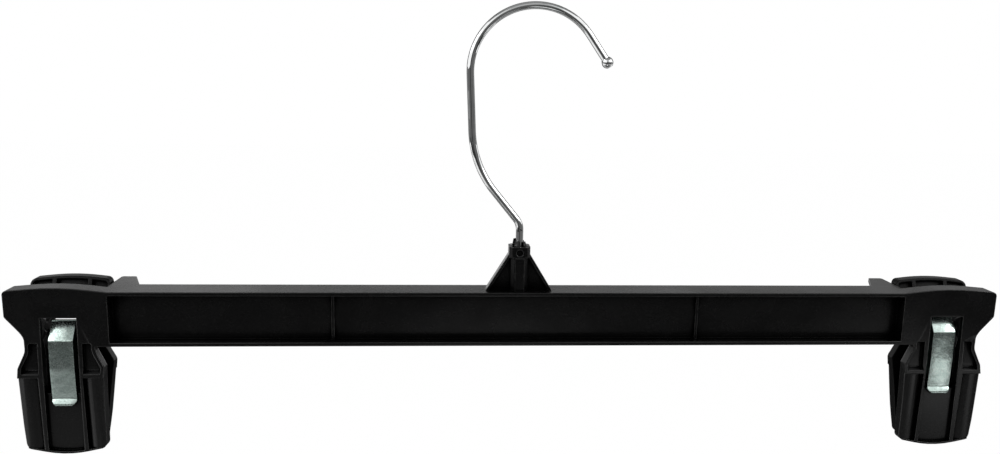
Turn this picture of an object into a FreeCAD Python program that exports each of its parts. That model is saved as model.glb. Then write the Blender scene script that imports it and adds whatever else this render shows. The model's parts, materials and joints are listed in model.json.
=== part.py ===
import FreeCAD, Part
import math
import os

# Skirt hanger: a moulded bar with a pinch clip at each end and a swivel wire hook.
# X runs along the bar, Z is up and the front faces -Y. Everything is drawn about the middle of the
# bar, and moved at the end so that the origin is where a rail bears in the hook. Millimetres.

# Bar: an I-section with its web in the middle plane
half_length = 178.6          # middle of the bar to the end of an ear
bar_height = 19.6
bar_depth = 12.0
flange = 1.3                 # thickness of the top and bottom flanges
web = 2.4
end_wall = 1.6               # wall that closes the channel and carries the clip
stiffener_place = 66.3       # middle of the bar to a stiffening rib
stiffener = 1.0
stiffener_rise = 1.2         # height of that rib above the web

# Guide lug: a wing of the top flange that keeps the rear jaw in line
lug_reach = 12.3             # behind the flange
lug_root = 7.4               # channel's end back to the lug's inner edge at the flange
lug_tip = 2.4                # the same at its rear edge
lug_past = 2.8               # channel's end on to its outer edge
lug_rib_height = 7.0
lug_corner = 1.0

# Boss, collar, crown and gussets
boss_shift = 0.35            # the boss stands this far right of the bar's middle
column_across = 6.4
column_chamfer = 1.5
collar_across = 7.6
collar_chamfer = 1.2
collar_height = 4.0
boss_height = 16.2           # top of the bar to the collar's top
gusset_half_base = 12.0
gusset_height = 13.4
gusset_depth = 3.8
gusset_web = 1.4
gusset_edge = 1.0            # thickness of the flange along a gusset's slope
boss_rib_rise = 0.4          # how far the rib down the boss's front stands past the collar
pit_width = 2.4
pit_depth = 0.7
pit_drop = 2.2               # collar's top to the middle of the pit
crown_height = 2.4
crown_foot = 5.2             # crown's diameter on the collar
crown_head = 4.4
crown_slot = 1.3
crown_turn = 20.0            # degrees that the crown's slots are turned

# Hook: round wire in the bar's plane
wire = 2.7
stem_rise = 8.0              # collar's top to the first bend
slope_angle = 39.2           # degrees off the vertical
first_bend = 6.0
second_rise = 28.9           # collar's top to the second bend
second_bend = 36.0
lean_angle = 2.5             # lean of the long leg, degrees
crook_rise = 61.6            # collar's top to the crook's centre
crook_radius = 22.8
crook_end_angle = 31.0       # degrees above the horizontal where the crook ends
tip_length = 9.2
ball = 4.2
ball_flat = 0.3              # cut off the ball's end
bead = 4.2
bead_length = 2.0
bead_drop = 8.5              # collar's top to the middle of the bead
stem_end_drop = 13.0         # collar's top to the wire's lower end
swivel_fit = 0.08            # running clearance all round the stem and the bead

# Clip outline, seen from the front
ear_reach = 18.3             # clip's middle to the ear's end
clip_inner = 16.9            # clip's middle back to the end of the bar's channel
ear_arch = 2.0               # rise of the arch's corner over the bar's top
ear_arch_radius = 95.0
ear_corner = 1.6
ear_end_rise = 0.4           # bar's top up to the ear's end corner
ear_foot = 0.9               # bar's middle to the ear's lower corner
ear_draft = 0.9              # how far the ear's end leans in
ear_foot_round = 2.2
neck_half = 11.9
neck_top = 5.4               # bar's middle down to the neck
neck_bottom = 11.6
neck_round = 5.0
neck_lower_round = 5.0
shoulder_half = 14.7
shoulder_drop = 17.6
shoulder_round = 2.6
tip_half = 13.9
rear_tip_half = 10.8
tip_corner_drop = 47.7
tip_corner = 2.2
tip_drop = 50.7              # corner of the tip's arch
tip_arch_radius = 36.0

# Clip section, seen from the end
plate = 2.0                  # wall of the ear
jaw_wall_top = 3.3           # thickness at the shoulder
plate_end_drop = 8.0         # where the plate begins to thicken
jaw_start_drop = 12.0
grip_start_drop = 29.0       # top of the toothed face
grip_face = 1.3              # middle plane to the toothed face
tip_face = 4.9               # middle plane to the jaw's outer face at the tip
rim = 1.5                    # wall of the rim round the ear
rim_rear = 1.0               # how far the rim passes the middle plane
rim_foot = 0.5               # bar's middle up to the rim's lower end

# Window, ribs, trough and pockets of a jaw
window_half = 6.2
window_top = 1.0             # above the bar's middle
window_bottom_drop = 27.5
trough_depth = 1.5
rib = 1.4
pocket_top_drop = 8.6
pocket_floor_drop = 18.8     # where a pocket's floor turns out towards its lower edge
pocket_bottom_drop = 20.1
pocket_depth = 1.6
pocket_edge = 1.2            # rim left between a pocket and the outline
pocket_round = 0.8
ledge = 1.2                  # height of the ledge under a pocket
panel_depth = 1.5
panel_crown = 7.0            # radius of a panel's rounded face
panel_crown_drop = 0.3       # rib's face to the top of that crown
panel_crown_edge = 3.1       # shoulder's side in to the top of that crown
bottom_rim = 1.1

# Teeth
tooth_pitch = 3.1
tooth_count = 6
tooth_base = 2.1
tooth_first_drop = 31.2
mesh_gap = 0.3               # between the teeth of the two jaws
tooth_side = 1.0             # jaw's side to the end of a tooth

# Fulcrum of the rear jaw: a nose on each of its cheeks in a saddle of the front jaw
fulcrum_drop = 4.0
nose = 1.6                   # radius
nose_fit = 0.08
saddle_lip = 1.0
cheek = 2.0
cheek_clear = 0.3            # window's edge to a cheek
cheek_top = 1.0              # above the bar's middle at the plate
cheek_bottom_drop = 9.0

# Finger tab of the rear jaw
flare_start_drop = 6.0
tab_reach = 12.5             # middle plane to the tab's outer face at its top
tab_top = 11.9
tab_outer_half = 14.5        # clip's middle to the tab's outer edge
tab_side_gap = 0.7           # between the tab and the guide lug
tab_foot = 0.5               # bar's middle up to the tab's lower corners
tab_corner = 2.2
tab_foot_round = 4.0
tab_arch = 0.7
tab_arch_radius = 80.0
tab_rim = 0.9
tab_rim_depth = 3.6          # rim's depth from the tab's outer face
tab_rib_half = 6.2
tab_rib = 1.4
tab_rib_depth = 3.6
tab_rib_foot = 4.0           # bar's middle up to a rib's lower end

# Spring: one bent strip
strip = 0.7
strip_width = 8.4
knee_out = 4.95              # middle plane to the knee
knee_drop = 6.6
knee_round = 1.4
fold_out = 4.55
fold_drop = 27.9
fold_round = 0.8
lip_length = 2.7
lip_flare = 28.0             # degrees
lip_corner = 1.3
arm_lean = 35.0              # degrees off the vertical
arch_round = 1.4
spring_shift = 1.3           # the left spring sits this much lower, the right one higher

overrun = 5.0                # how far a cutter passes what it cuts
touch = 1e-6                 # points nearer than this are one point

# Worked out from the sizes above
top = bar_height / 2
front = -bar_depth / 2
rear = bar_depth / 2
clip_middle = half_length - ear_reach
channel_half = clip_middle - clip_inner
lug_outer = channel_half + lug_past
collar_top = top + boss_height
rib_outer = window_half + rib
tab_inner_half = clip_inner - lug_past - tab_side_gap


def vector(x, y, z):
    return FreeCAD.Vector(x, y, z)


def block(x0, x1, y0, y1, z0, z1):
    """A box between three pairs of planes."""
    return Part.makeBox(x1 - x0, y1 - y0, z1 - z0, vector(x0, y0, z0))


def corners(points, closed=True):
    """For each (a, b, radius) point: where its rounding starts, its middle and where it ends."""
    spots = [vector(a, b, 0) for a, b, radius in points]
    count = len(spots)
    runs = [spots[(number + 1) % count] - spots[number] for number in range(count)]
    half_angles = []
    reaches = []
    for number in range(count):
        half_angle = (runs[number - 1] * -1).getAngle(runs[number]) / 2
        loose_end = not closed and number in (0, count - 1)
        half_angles.append(half_angle)
        reaches.append(0 if loose_end else points[number][2] / math.tan(half_angle))
    # Two roundings on one run share it when it is too short for both
    room = [run.Length / max(run.Length, reaches[number] + reaches[(number + 1) % count])
            for number, run in enumerate(runs)]
    found = []
    for number, here in enumerate(spots):
        reach = reaches[number] * min(room[number - 1], room[number])
        if reach == 0:
            found.append((here, None, here))
            continue
        before = (runs[number - 1] * -1).normalize()
        after = vector(*runs[number]).normalize()
        radius = reach * math.tan(half_angles[number])
        inward = (before + after).normalize()
        middle = here + inward * (radius / math.sin(half_angles[number]) - radius)
        found.append((here + before * reach, middle, here + after * reach))
    return found


def rounded_edges(points, place, closed=True):
    """Lines joined by tangent arcs through (a, b, radius) points; place makes them 3-D."""
    found = corners(points, closed)
    edges = []
    for number, (start, middle, end) in enumerate(found):
        if middle is not None:
            edges.append(Part.Arc(place(start), place(middle), place(end)).toShape())
        last = number == len(found) - 1
        if last and not closed:
            break
        following = found[(number + 1) % len(found)][0]
        if end.distanceToPoint(following) > touch:
            edges.append(Part.LineSegment(place(end), place(following)).toShape())
    return edges


def prism_y(points, y0, y1):
    """An outline in X and Z, taken from y0 to y1."""
    edges = rounded_edges(points, lambda p: vector(p.x, y0, p.y))
    return Part.Face(Part.Wire(edges)).extrude(vector(0, y1 - y0, 0))


def prism_x(points, x0, x1):
    """An outline in Y and Z, taken from x0 to x1."""
    edges = rounded_edges(points, lambda p: vector(x0, p.x, p.y))
    return Part.Face(Part.Wire(edges)).extrude(vector(x1 - x0, 0, 0))


def prism_z(points, z0, z1):
    """An outline in X and Y, taken from z0 to z1."""
    edges = rounded_edges(points, lambda p: vector(p.x, p.y, z0))
    return Part.Face(Part.Wire(edges)).extrude(vector(0, 0, z1 - z0))


def sharp(points):
    """The same points with no rounding."""
    return [(a, b, 0) for a, b in points]


def join(shapes):
    """One solid from shapes that touch or overlap."""
    whole = shapes[0].fuse(shapes[1:]) if len(shapes) > 1 else shapes[0]
    return whole.removeSplitter()


def flip_x(shape):
    return shape.mirror(vector(0, 0, 0), vector(1, 0, 0))


def flip_y(shape):
    return shape.mirror(vector(0, 0, 0), vector(0, 1, 0))


# Clip outlines and sections, drawn for the right-hand clip


def jaw_side(side, tip):
    """Outline points of one side of a jaw, from its neck down to the tip's corner."""
    return [
        (clip_middle + side * neck_half, -neck_bottom, neck_lower_round),
        (clip_middle + side * shoulder_half, -shoulder_drop, shoulder_round),
        (clip_middle + side * tip, -tip_corner_drop, tip_corner),
    ]


def jaw_lower(tip):
    """Both sides of a jaw and its arched tip, from the outer neck round to the inner neck."""
    return jaw_side(1, tip) + [(clip_middle, -tip_drop, tip_arch_radius)] + jaw_side(-1, tip)[::-1]


def front_outline():
    """The front jaw with its ear."""
    return [
        (channel_half, top, 0),
        (clip_middle, top + ear_arch, ear_arch_radius),
        (half_length, top + ear_end_rise, ear_corner),
        (half_length - ear_draft, ear_foot, ear_foot_round),
        (clip_middle + neck_half, -neck_top, neck_round),
        *jaw_lower(tip_half),
        (clip_middle - neck_half, -top, 0),
        (channel_half, -top, 0),
    ]


def rear_outline():
    """The rear jaw with its finger tab."""
    tab_side = tab_top - tab_arch
    return [
        (clip_middle - tab_inner_half, tab_side, tab_corner),
        (clip_middle, tab_top + tab_arch, tab_arch_radius),
        (clip_middle + tab_outer_half, tab_side, tab_corner),
        (clip_middle + tab_outer_half, tab_foot, tab_foot_round),
        (clip_middle + neck_half, -neck_top, neck_round),
        *jaw_lower(rear_tip_half),
        (clip_middle - neck_half, -neck_top, tab_foot_round),
        (clip_middle - tab_inner_half, tab_foot, tab_foot_round),
    ]


def face_at(drop, depth=0):
    """Middle plane to the jaw's outer face at a drop, less a depth."""
    share = max(0, (drop - shoulder_drop) / (tip_drop - shoulder_drop))
    return bar_depth / 2 + (tip_face - bar_depth / 2) * share - depth


def front_band(depth=0, inner=None):
    """Section of the front jaw from depth under its outer face to an inner line of (y, z) points."""
    low = -tip_drop - overrun
    high = top + ear_arch + overrun
    outer = [(front + depth, high), (front + depth, -shoulder_drop)]
    outer.append((-face_at(tip_drop + overrun, depth), low))
    if inner is None:
        inner = [
            (-grip_face, low),
            (-grip_face, -grip_start_drop),
            (front + jaw_wall_top, -shoulder_drop),
            (front + jaw_wall_top, -jaw_start_drop),
            (front + plate, -plate_end_drop),
            (front + plate, high),
        ]
    return sharp(outer + inner)


def recess_band(depth):
    """Section of all that lies outside a surface at depth under the front jaw's outer face."""
    low = -tip_drop - overrun
    high = top + ear_arch + overrun
    return front_band(depth, [(front - overrun, low), (front - overrun, high)])


def flare_point(height, depth=0):
    """Outer face of the finger tab at a height, less a depth square to the face."""
    rise = tab_top + flare_start_drop
    lean = math.atan2(tab_reach - rear, rise)
    reach = rear + (height + flare_start_drop) * math.tan(lean)
    return reach - depth / math.cos(lean)


def rear_band(thickness):
    """Section of the rear jaw; its tab has the given thickness."""
    low = -tip_drop - overrun
    high = tab_top + overrun
    return sharp([
        (face_at(tip_drop + overrun), low),
        (rear, -shoulder_drop),
        (rear, -flare_start_drop),
        (flare_point(high), high),
        (flare_point(high, thickness), high),
        (flare_point(-flare_start_drop, thickness), -flare_start_drop),
        (rear - plate, -plate_end_drop),
        (rear - jaw_wall_top, -jaw_start_drop),
        (rear - jaw_wall_top, -shoulder_drop),
        (grip_face, -grip_start_drop),
        (grip_face, low),
    ])


def across(section, margin=0):
    """A section taken right across the clip."""
    return prism_x(section, channel_half - margin, half_length + overrun)


def recesses():
    """Cutters for the window, the trough, the pockets and the panels of the front jaw."""
    deep = front - overrun
    window = block(clip_middle - window_half, clip_middle + window_half, deep, 0,
                   -window_bottom_drop, window_top)
    rim_arch = [
        (clip_middle + tip_half + overrun, -tip_corner_drop + bottom_rim, 0),
        (clip_middle, -tip_drop + bottom_rim, tip_arch_radius),
        (clip_middle - tip_half - overrun, -tip_corner_drop + bottom_rim, 0),
    ]
    trough_top = -window_bottom_drop + overrun
    above_rim = prism_y(rim_arch + [
        (clip_middle - tip_half - overrun, -shoulder_drop, 0),
        (clip_middle + tip_half + overrun, -shoulder_drop, 0),
    ], deep, 0)
    trough = block(clip_middle - window_half, clip_middle + window_half, deep, 0, -tip_drop, trough_top)
    trough = trough.common(above_rim).common(across(recess_band(trough_depth)))
    cutters = [window, trough]
    for side in (1, -1):
        cutters.append(pocket(side, deep))
        cutters.append(panel(side, deep).common(above_rim))
    return cutters


def pocket(side, deep):
    """The hollow between a rib, the neck and the ledge; its lower end slopes out to the face."""
    inner = clip_middle + side * rib_outer
    neck = clip_middle + side * (neck_half - pocket_edge)
    foot = clip_middle + side * (shoulder_half - pocket_edge)
    outline = [
        (inner, -pocket_top_drop, 0),
        (neck, -pocket_top_drop, pocket_round),
        (neck, -jaw_start_drop, neck_lower_round),
        (foot, -shoulder_drop, pocket_round),
        (foot, -pocket_bottom_drop, pocket_round),
        (inner, -pocket_bottom_drop, 0),
    ]
    above_slope = across(sharp([
        (deep, top),
        (deep, -pocket_bottom_drop),
        (front, -pocket_bottom_drop),
        (front + pocket_depth, -pocket_floor_drop),
        (0, -pocket_floor_drop),
        (0, top),
    ]))
    return prism_y(outline, deep, 0).common(across(recess_band(pocket_depth))).common(above_slope)


def panel(side, deep):
    """The recessed side panel under the ledge, with a rounded face left standing in it."""
    inner = clip_middle + side * rib_outer
    outer = clip_middle + side * (shoulder_half + overrun)
    panel_top = -pocket_bottom_drop - ledge
    hollow = block(min(inner, outer), max(inner, outer), deep, 0, -tip_drop, panel_top)
    hollow = hollow.common(across(recess_band(panel_depth)))
    middle = clip_middle + side * (shoulder_half - panel_crown_edge)
    sink = panel_crown_drop + panel_crown
    upper = vector(middle, -face_at(shoulder_drop, sink), -shoulder_drop)
    lower = vector(middle, -face_at(tip_drop, sink), -tip_drop)
    axis = lower - upper
    return hollow.cut(Part.makeCylinder(panel_crown, axis.Length, upper, axis))


def teeth(first_drop, jaw_tip):
    """Ridges across the grip face of a jaw with the given half-width at its tip, drawn on the front jaw."""
    point = -mesh_gap / 2
    start = clip_middle - jaw_tip + tooth_side
    end = clip_middle + jaw_tip - tooth_side
    rows = []
    for number in range(tooth_count):
        middle = -first_drop - number * tooth_pitch
        section = sharp([
            (-grip_face - plate / 2, middle + tooth_base / 2),
            (-grip_face, middle + tooth_base / 2),
            (point, middle),
            (-grip_face, middle - tooth_base / 2),
            (-grip_face - plate / 2, middle - tooth_base / 2),
        ])
        rows.append(prism_x(section, start, end))
    return rows


# Pieces


def front_clip():
    """The front jaw with its ear, rim, saddles and teeth, as moulded on the bar's right end."""
    outline = front_outline()
    body = prism_y(outline, front - overrun, 0).common(across(front_band()))
    ear = prism_y(outline, front, rim_rear).common(
        block(channel_half, half_length, front, rim_rear, rim_foot, top + ear_arch))
    hollow = prism_y([
        (channel_half + end_wall, top - rim, 0),
        (clip_middle, top + ear_arch - rim, ear_arch_radius - rim),
        (half_length - rim, top + ear_end_rise - rim, ear_corner - rim / 2),
        (half_length - ear_draft - rim, -overrun, 0),
        (channel_half + end_wall, -overrun, 0),
    ], front + plate, rim_rear + overrun)
    saddle = Part.makeCylinder(nose + nose_fit, 2 * (rib_outer + cheek),
                               vector(clip_middle - rib_outer - cheek, 0, -fulcrum_drop), vector(1, 0, 0))
    lip = nose + nose_fit + saddle_lip
    cheek_section = sharp([
        (front + plate / 2, cheek_top),
        (0, -fulcrum_drop + lip),
        (0, -fulcrum_drop - lip),
        (front + plate / 2, -cheek_bottom_drop),
    ])
    parts = [body, ear.cut(hollow)]
    parts += [prism_x(cheek_section, start, end).cut(saddle) for start, end in cheek_places()]
    parts += teeth(tooth_first_drop, tip_half)
    return join(parts).cut(recesses())


def cheek_places():
    """Where the two cheeks of a jaw start and end along the bar."""
    inner = window_half + cheek_clear
    return [
        (clip_middle + inner, clip_middle + inner + cheek),
        (clip_middle - inner - cheek, clip_middle - inner),
    ]


def rear_jaw():
    """The right rear jaw: jaw, finger tab with its rim and ribs, cheeks with their noses, teeth."""
    outline = rear_outline()
    whole = prism_y(outline, 0, tab_reach + overrun)
    body = whole.common(across(rear_band(plate)))
    rim_band = across(rear_band(tab_rim_depth))
    above = block(channel_half, half_length, 0, tab_reach + overrun, tab_foot, tab_top + overrun)
    inside = prism_y([
        (clip_middle - tab_inner_half + tab_rim, tab_top - tab_arch - tab_rim, tab_corner - tab_rim),
        (clip_middle, tab_top + tab_arch - tab_rim, tab_arch_radius - tab_rim),
        (clip_middle + tab_outer_half - tab_rim, tab_top - tab_arch - tab_rim, tab_corner - tab_rim),
        (clip_middle + tab_outer_half - tab_rim, -overrun, 0),
        (clip_middle - tab_inner_half + tab_rim, -overrun, 0),
    ], 0, tab_reach + overrun)
    tab_rims = whole.common(rim_band).common(above).cut(inside)
    rib_band = across(rear_band(tab_rib_depth))
    ribs = []
    for side in (1, -1):
        middle = clip_middle + side * tab_rib_half
        rib_block = block(middle - tab_rib / 2, middle + tab_rib / 2, 0, tab_reach,
                          tab_rib_foot, tab_top - tab_rim / 2)
        ribs.append(rib_block.common(rib_band))
    wedge = nose / math.sqrt(2)
    cheek_section = sharp([
        (rear - plate / 2, cheek_top - plate),
        (wedge, -fulcrum_drop + wedge),
        (wedge, -fulcrum_drop - wedge),
        (rear - plate / 2, -cheek_bottom_drop),
    ])
    cheeks = []
    for start, end in cheek_places():
        cheeks.append(prism_x(cheek_section, start, end))
        pivot = vector(start, 0, -fulcrum_drop)
        cheeks.append(Part.makeCylinder(nose, end - start, pivot, vector(1, 0, 0)))
    grip = [flip_y(row) for row in teeth(tooth_first_drop + tooth_pitch / 2, rear_tip_half)[:-1]]
    jaw = join([body, tab_rims] + ribs + cheeks + grip)
    return jaw.cut([flip_y(cutter) for cutter in recesses()])


def clip_spring(shift):
    """A strip bent to a loop, with two arms that come out through the windows and press the jaws."""
    lean = math.radians(arm_lean)
    apex = -knee_drop + knee_out / math.tan(lean)
    flare = math.radians(lip_flare)
    lip_out = fold_out + lip_length * math.sin(flare)
    lip_drop = fold_drop + lip_length * math.cos(flare)
    half = [(lip_out, -lip_drop, 0), (fold_out, -fold_drop, fold_round), (knee_out, -knee_drop, knee_round)]
    path_points = [(-y, z + shift, r) for y, z, r in half]
    path_points.append((0, apex + shift, arch_round))
    path_points += [(y, z + shift, r) for y, z, r in half[::-1]]
    side = clip_middle - strip_width / 2
    path = Part.Wire(rounded_edges(path_points, lambda p: vector(side, p.x, p.y), closed=False))
    along = vector(0, math.sin(flare), math.cos(flare))
    square = vector(0, math.cos(flare), -math.sin(flare)) * (strip / 2)
    start = vector(side, -lip_out, -lip_drop + shift)
    width = vector(strip_width, 0, 0)
    ring = [start - square, start + square, start + square + width, start - square + width]
    section = Part.makePolygon(ring + ring[:1])
    body = path.makePipeShell([section], True, False)
    corner_low = -lip_drop + shift
    for end in (1, -1):
        tip = clip_middle + end * strip_width / 2
        corner = sharp([
            (tip + end * overrun, corner_low - overrun),
            (tip + end * overrun, corner_low + lip_corner + overrun),
            (tip - end * (lip_corner + overrun), corner_low - overrun),
        ])
        body = body.cut(prism_y(corner, -lip_out - overrun, lip_out + overrun))
    return body


def boss():
    """The boss with its collar, crown of petals, pit, front rib and two flanged gussets."""
    def octagon(width, chamfer):
        half = width / 2
        flat = half - chamfer
        return sharp([(half, -flat), (half, flat), (flat, half), (-flat, half),
                      (-half, flat), (-half, -flat), (-flat, -half), (flat, -half)])

    column = prism_z(octagon(column_across, column_chamfer), top - flange, collar_top - collar_height)
    collar = prism_z(octagon(collar_across, collar_chamfer), collar_top - collar_height, collar_top)
    rib_half = column_across / 2 - column_chamfer
    front_rib = block(-rib_half, rib_half, -collar_across / 2 - boss_rib_rise, 0,
                      top - flange, collar_top - collar_height)
    pit_floor = vector(0, -collar_across / 2 + pit_depth, collar_top - pit_drop)
    pit = Part.makeCylinder(pit_width / 2, pit_depth + overrun, pit_floor, vector(0, -1, 0))
    slope = [(0, top + gusset_height), (collar_across / 2, top + gusset_height),
             (gusset_half_base, top), (0, top)]
    lean = math.atan2(gusset_half_base - collar_across / 2, gusset_height)
    shift_in = gusset_edge / math.cos(lean)
    inner = [(0, top + gusset_height - gusset_edge), (collar_across / 2 - shift_in, top + gusset_height),
             (gusset_half_base - shift_in, top), (0, top)]
    gusset = prism_y(sharp(slope), -gusset_depth / 2, gusset_depth / 2)
    for face_side in (1, -1):
        hollow = prism_y(sharp(inner), face_side * gusset_web / 2, face_side * (gusset_depth / 2 + overrun))
        gusset = gusset.cut(hollow)
    whole = join([column, collar.cut(pit), front_rib, crown(), gusset, flip_x(gusset)])
    return whole.translated(vector(boss_shift, 0, 0))


def crown():
    """The ring of petals that closes on the wire above the collar."""
    cone = Part.makeCone(crown_foot / 2, crown_head / 2, crown_height, vector(0, 0, collar_top))
    slots = []
    for turn in (0, 90):
        slot = block(-crown_foot, crown_foot, -crown_slot / 2, crown_slot / 2,
                     collar_top, collar_top + crown_height)
        slot.rotate(vector(0, 0, 0), vector(0, 0, 1), crown_turn + turn)
        slots.append(slot)
    return cone.cut(slots)


def stem_bore(clearance):
    """The stem and its bead as one turned shape, larger all round by a clearance."""
    radius = wire / 2 + clearance
    low = collar_top - stem_end_drop - clearance
    bead_middle = collar_top - bead_drop
    half = bead_length / 2 + clearance
    step = bead / 2 - wire / 2
    foot = vector(boss_shift, 0, bead_middle - half)
    shoulder = vector(boss_shift, 0, bead_middle + half - step)
    bead_body = Part.makeCylinder(bead / 2 + clearance, 2 * half - step, foot)
    bead_cone = Part.makeCone(bead / 2 + clearance, radius, step, shoulder)
    stem = Part.makeCylinder(radius, collar_top + crown_height - low, vector(boss_shift, 0, low))
    return stem, bead_body.fuse(bead_cone)


def lug():
    """The guide lug behind the right end of the top flange, with the rib that carries it."""
    lug_rear = rear + lug_reach
    wing = prism_z([
        (channel_half - lug_root, rear - flange, 0),
        (lug_outer, rear - flange, 0),
        (lug_outer, lug_rear, lug_corner),
        (channel_half - lug_tip, lug_rear, lug_corner),
        (channel_half - lug_root, rear, 0),
    ], top - flange, top)
    bridge = block(channel_half, lug_outer, 0, rear, top - flange, top)
    brace = prism_x(sharp([
        (rear - flange, top - flange),
        (lug_rear - lug_corner, top - flange),
        (rear - flange, top - flange - lug_rib_height),
    ]), channel_half, channel_half + end_wall)
    return [wing, bridge, brace]


def hanger_bar():
    """The whole black moulding."""
    beam = [
        block(-channel_half, channel_half, front, rear, top - flange, top),
        block(-channel_half, channel_half, front, rear, -top, -top + flange),
        block(-channel_half, channel_half, -web / 2, web / 2, -top, top),
        boss(),
    ]
    wall = block(channel_half, channel_half + end_wall, front, rear, -top, top)
    stiff = block(stiffener_place - stiffener / 2, stiffener_place + stiffener / 2,
                  -web / 2 - stiffener_rise, web / 2 + stiffener_rise, -top, top)
    for piece in [wall, stiff, front_clip()] + lug():
        beam += [piece, flip_x(piece)]
    stem, bead_pocket = stem_bore(swivel_fit)
    return join(beam).cut([stem, bead_pocket])


def hook_path():
    """Points (x, z, radius) of the straight runs, the crook's centre and the crook's end angles."""
    lean = math.radians(lean_angle)
    slope = math.radians(slope_angle)
    first = (boss_shift, collar_top + stem_rise)
    second_z = collar_top + second_rise
    second = (boss_shift - (second_z - first[1]) * math.tan(slope), second_z)
    centre_z = collar_top + crook_rise
    run = (centre_z - second_z - crook_radius * math.sin(lean)) / math.cos(lean)
    centre_x = second[0] - run * math.sin(lean) + crook_radius * math.cos(lean)
    return first, second, vector(centre_x, 0, centre_z)


def on_crook(centre, angle):
    """The point of the crook's middle line at an angle from +X."""
    turn = math.radians(angle)
    return centre + vector(math.cos(turn), 0, math.sin(turn)) * crook_radius


def wire_along(edges):
    """Round wire on a path: a cylinder on each line and a piece of a torus on each arc."""
    lengths = []
    for edge in edges:
        along = edge.tangentAt(edge.FirstParameter)
        start = edge.valueAt(edge.FirstParameter)
        section = Part.Face(Part.Wire(Part.makeCircle(wire / 2, start, along)))
        if isinstance(edge.Curve, Part.Circle):
            turn = math.degrees(edge.LastParameter - edge.FirstParameter)
            lengths.append(section.revolve(edge.Curve.Center, edge.Curve.Axis, turn))
        else:
            lengths.append(section.extrude(along * edge.Length))
    return lengths


def swivel_hook():
    """The bent wire with its bead and its ball tip."""
    first, second, centre = hook_path()
    crook_start = on_crook(centre, 180 + lean_angle)
    runs = [
        (boss_shift, collar_top - stem_end_drop, 0),
        (*first, first_bend),
        (*second, second_bend),
        (crook_start.x, crook_start.z, 0),
    ]
    edges = rounded_edges(runs, lambda p: vector(p.x, 0, p.y), closed=False)
    crook_end = on_crook(centre, crook_end_angle)
    crook_middle = on_crook(centre, (180 + lean_angle + crook_end_angle) / 2)
    edges.append(Part.Arc(crook_start, crook_middle, crook_end).toShape())
    turn = math.radians(crook_end_angle)
    onward = vector(math.sin(turn), 0, -math.cos(turn))
    tip = crook_end + onward * tip_length
    edges.append(Part.LineSegment(crook_end, tip).toShape())
    knob = Part.makeSphere(ball / 2, tip)
    cut_at = tip + onward * (ball / 2 - ball_flat)
    knob = knob.cut(Part.makeCylinder(ball, ball, cut_at, onward))
    bead_body = stem_bore(0)[1]
    return join(wire_along(edges) + [knob, bead_body])


def seat():
    """Where a rail bears: the highest point inside the crook."""
    centre = hook_path()[2]
    return centre + vector(0, 0, crook_radius - wire / 2)


def main():
    os.makedirs("parts", exist_ok=True)
    jaw = rear_jaw()
    pieces = {
        "hanger_bar": hanger_bar(),
        "right_rear_jaw": jaw,
        "left_rear_jaw": flip_x(jaw),
        "right_clip_spring": clip_spring(spring_shift),
        "left_clip_spring": flip_x(clip_spring(-spring_shift)),
        "swivel_hook": swivel_hook(),
    }
    origin = seat()
    for name, shape in pieces.items():
        placed = shape.translated(origin * -1)
        placed.exportStep("parts/" + name + ".step")
        box = placed.optimalBoundingBox(False)
        print(name, "solids", len(placed.Solids), "valid", placed.isValid(), "volume", round(placed.Volume))
        print("    x", round(box.XMin, 2), round(box.XMax, 2), "y", round(box.YMin, 2), round(box.YMax, 2),
              "z", round(box.ZMin, 2), round(box.ZMax, 2))
    print("the seat lies at", origin, "from the middle of the bar")


main()
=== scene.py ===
import json
import logging
import math
from dataclasses import dataclass
from enum import Enum
from typing import Any, Iterable, Sequence

import bmesh
import bpy
from mathutils import Matrix, Vector


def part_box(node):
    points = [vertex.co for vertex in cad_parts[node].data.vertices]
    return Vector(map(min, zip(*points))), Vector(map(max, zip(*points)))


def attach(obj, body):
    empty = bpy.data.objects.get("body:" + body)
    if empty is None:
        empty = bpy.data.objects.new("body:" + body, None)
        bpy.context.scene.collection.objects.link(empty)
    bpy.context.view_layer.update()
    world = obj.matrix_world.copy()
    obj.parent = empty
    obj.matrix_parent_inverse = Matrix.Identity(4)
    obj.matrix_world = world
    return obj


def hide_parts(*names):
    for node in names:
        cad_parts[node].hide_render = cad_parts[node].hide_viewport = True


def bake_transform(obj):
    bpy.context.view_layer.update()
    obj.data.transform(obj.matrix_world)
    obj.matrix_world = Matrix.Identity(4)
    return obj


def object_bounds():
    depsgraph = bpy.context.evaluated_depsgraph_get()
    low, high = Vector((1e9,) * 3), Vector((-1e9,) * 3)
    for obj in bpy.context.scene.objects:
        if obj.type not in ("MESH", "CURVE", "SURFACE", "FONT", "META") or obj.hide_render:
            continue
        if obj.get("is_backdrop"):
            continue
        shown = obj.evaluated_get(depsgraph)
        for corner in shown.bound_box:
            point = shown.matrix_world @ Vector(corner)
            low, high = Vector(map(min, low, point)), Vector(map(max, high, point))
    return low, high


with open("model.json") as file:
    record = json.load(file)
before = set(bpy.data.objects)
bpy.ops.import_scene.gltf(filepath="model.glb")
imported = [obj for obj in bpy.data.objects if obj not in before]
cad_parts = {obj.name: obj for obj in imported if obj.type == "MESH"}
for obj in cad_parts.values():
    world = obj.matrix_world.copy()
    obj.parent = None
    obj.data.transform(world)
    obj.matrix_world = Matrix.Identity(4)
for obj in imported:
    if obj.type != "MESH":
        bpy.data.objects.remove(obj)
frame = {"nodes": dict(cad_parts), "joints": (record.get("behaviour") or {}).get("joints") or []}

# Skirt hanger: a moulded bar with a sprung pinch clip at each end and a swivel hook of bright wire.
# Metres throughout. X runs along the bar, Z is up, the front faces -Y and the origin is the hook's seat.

LOG = logging.getLogger("skirt_hanger")
MM = 0.001
BARE_AND_PAINTED_SHADE = "bare_and_painted_shade"
NOISE_MIDDLE = 0.5

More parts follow.
